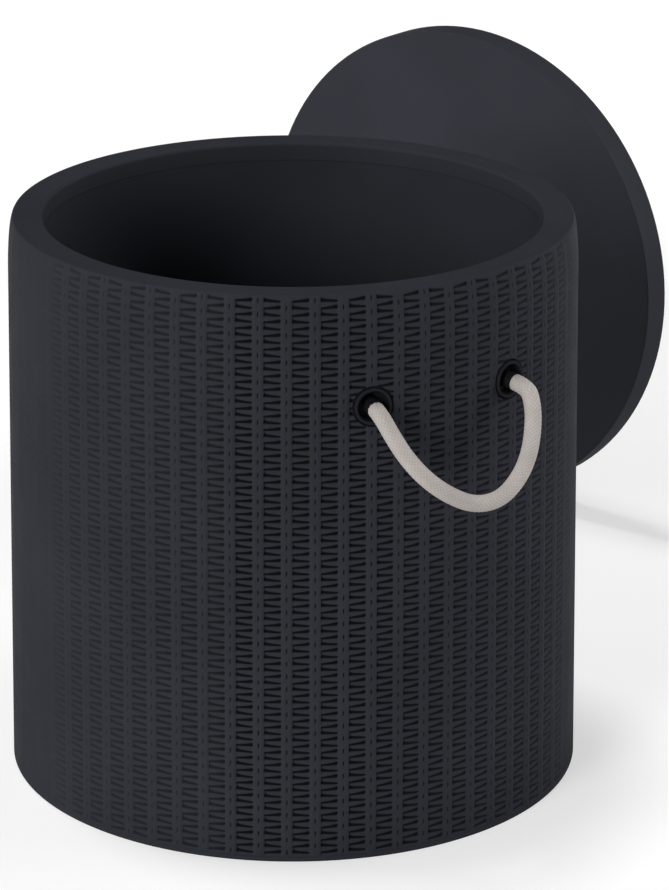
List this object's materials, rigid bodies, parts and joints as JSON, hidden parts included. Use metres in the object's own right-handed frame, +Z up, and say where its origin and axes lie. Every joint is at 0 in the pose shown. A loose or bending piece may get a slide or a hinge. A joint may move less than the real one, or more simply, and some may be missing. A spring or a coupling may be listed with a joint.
{
  "type": "cooler table with lid",
  "caption": "Round insulated drinks cooler with a woven-look wall, rope handles and a flat lid that turns it into a side table, shown with the lid off.",
  "frame": {"origin": "on the floor under the middle of the tub's base", "axes": "+Z up along the tub's axis, +X towards the right-hand rope handle seen in the picture, -Y towards the front, the lid stands behind on the -X +Y side"},
  "size_m": [0.8746, 0.7149, 0.421],
  "materials": {
    "shell_plastic": "textured matt graphite polypropylene",
    "liner_plastic": "smooth matt graphite polypropylene",
    "base_plastic": "smooth matt graphite polypropylene",
    "lid_plastic": "smooth satin graphite polypropylene",
    "grommet_plastic": "smooth satin graphite plastic",
    "foam": "white beaded expanded foam",
    "rope": "braided off-white polypropylene rope",
    "plug_rubber": "smooth matt black rubber",
    "screw_steel": "zinc-plated steel"
  },
  "bodies": {
    "tub": {"outer_shell": "shell_plastic", "inner_liner": "liner_plastic", "base_plate": "base_plastic", "base_screws": "screw_steel", "wall_insulation": "foam", "floor_insulation": "foam", "rope_grommet_right_front": "grommet_plastic", "rope_grommet_right_back": "grommet_plastic", "rope_grommet_left_front": "grommet_plastic", "rope_grommet_left_back": "grommet_plastic", "rope_end_right_front": "rope", "rope_end_right_back": "rope", "rope_end_left_front": "rope", "rope_end_left_back": "rope"},
    "lid": {"lid_top": "lid_plastic", "lid_underside": "lid_plastic", "lid_insulation": "foam"},
    "handle_right": {"handle_rope_right": "rope"},
    "handle_left": {"handle_rope_left": "rope"},
    "plug": {"drain_plug": "plug_rubber"}
  },
  "joints": [
    {"name": "lid_lift", "type": "slide", "parent": "tub", "child": "lid", "axis": [0, 0, 1], "range_m": [0, 0.5]},
    {"name": "handle_right_swing", "type": "hinge", "parent": "tub", "child": "handle_right", "pos_m": [0.21564, 0, 0.34], "axis": [0, -1, 0], "range_deg": [0, 125]},
    {"name": "handle_left_swing", "type": "hinge", "parent": "tub", "child": "handle_left", "pos_m": [-0.21564, 0, 0.34], "axis": [0, 1, 0], "range_deg": [0, 125]},
    {"name": "drain_plug_pull", "type": "slide", "parent": "tub", "child": "plug", "axis": [0, 0, 1], "range_m": [0, 0.06]}
  ]
}
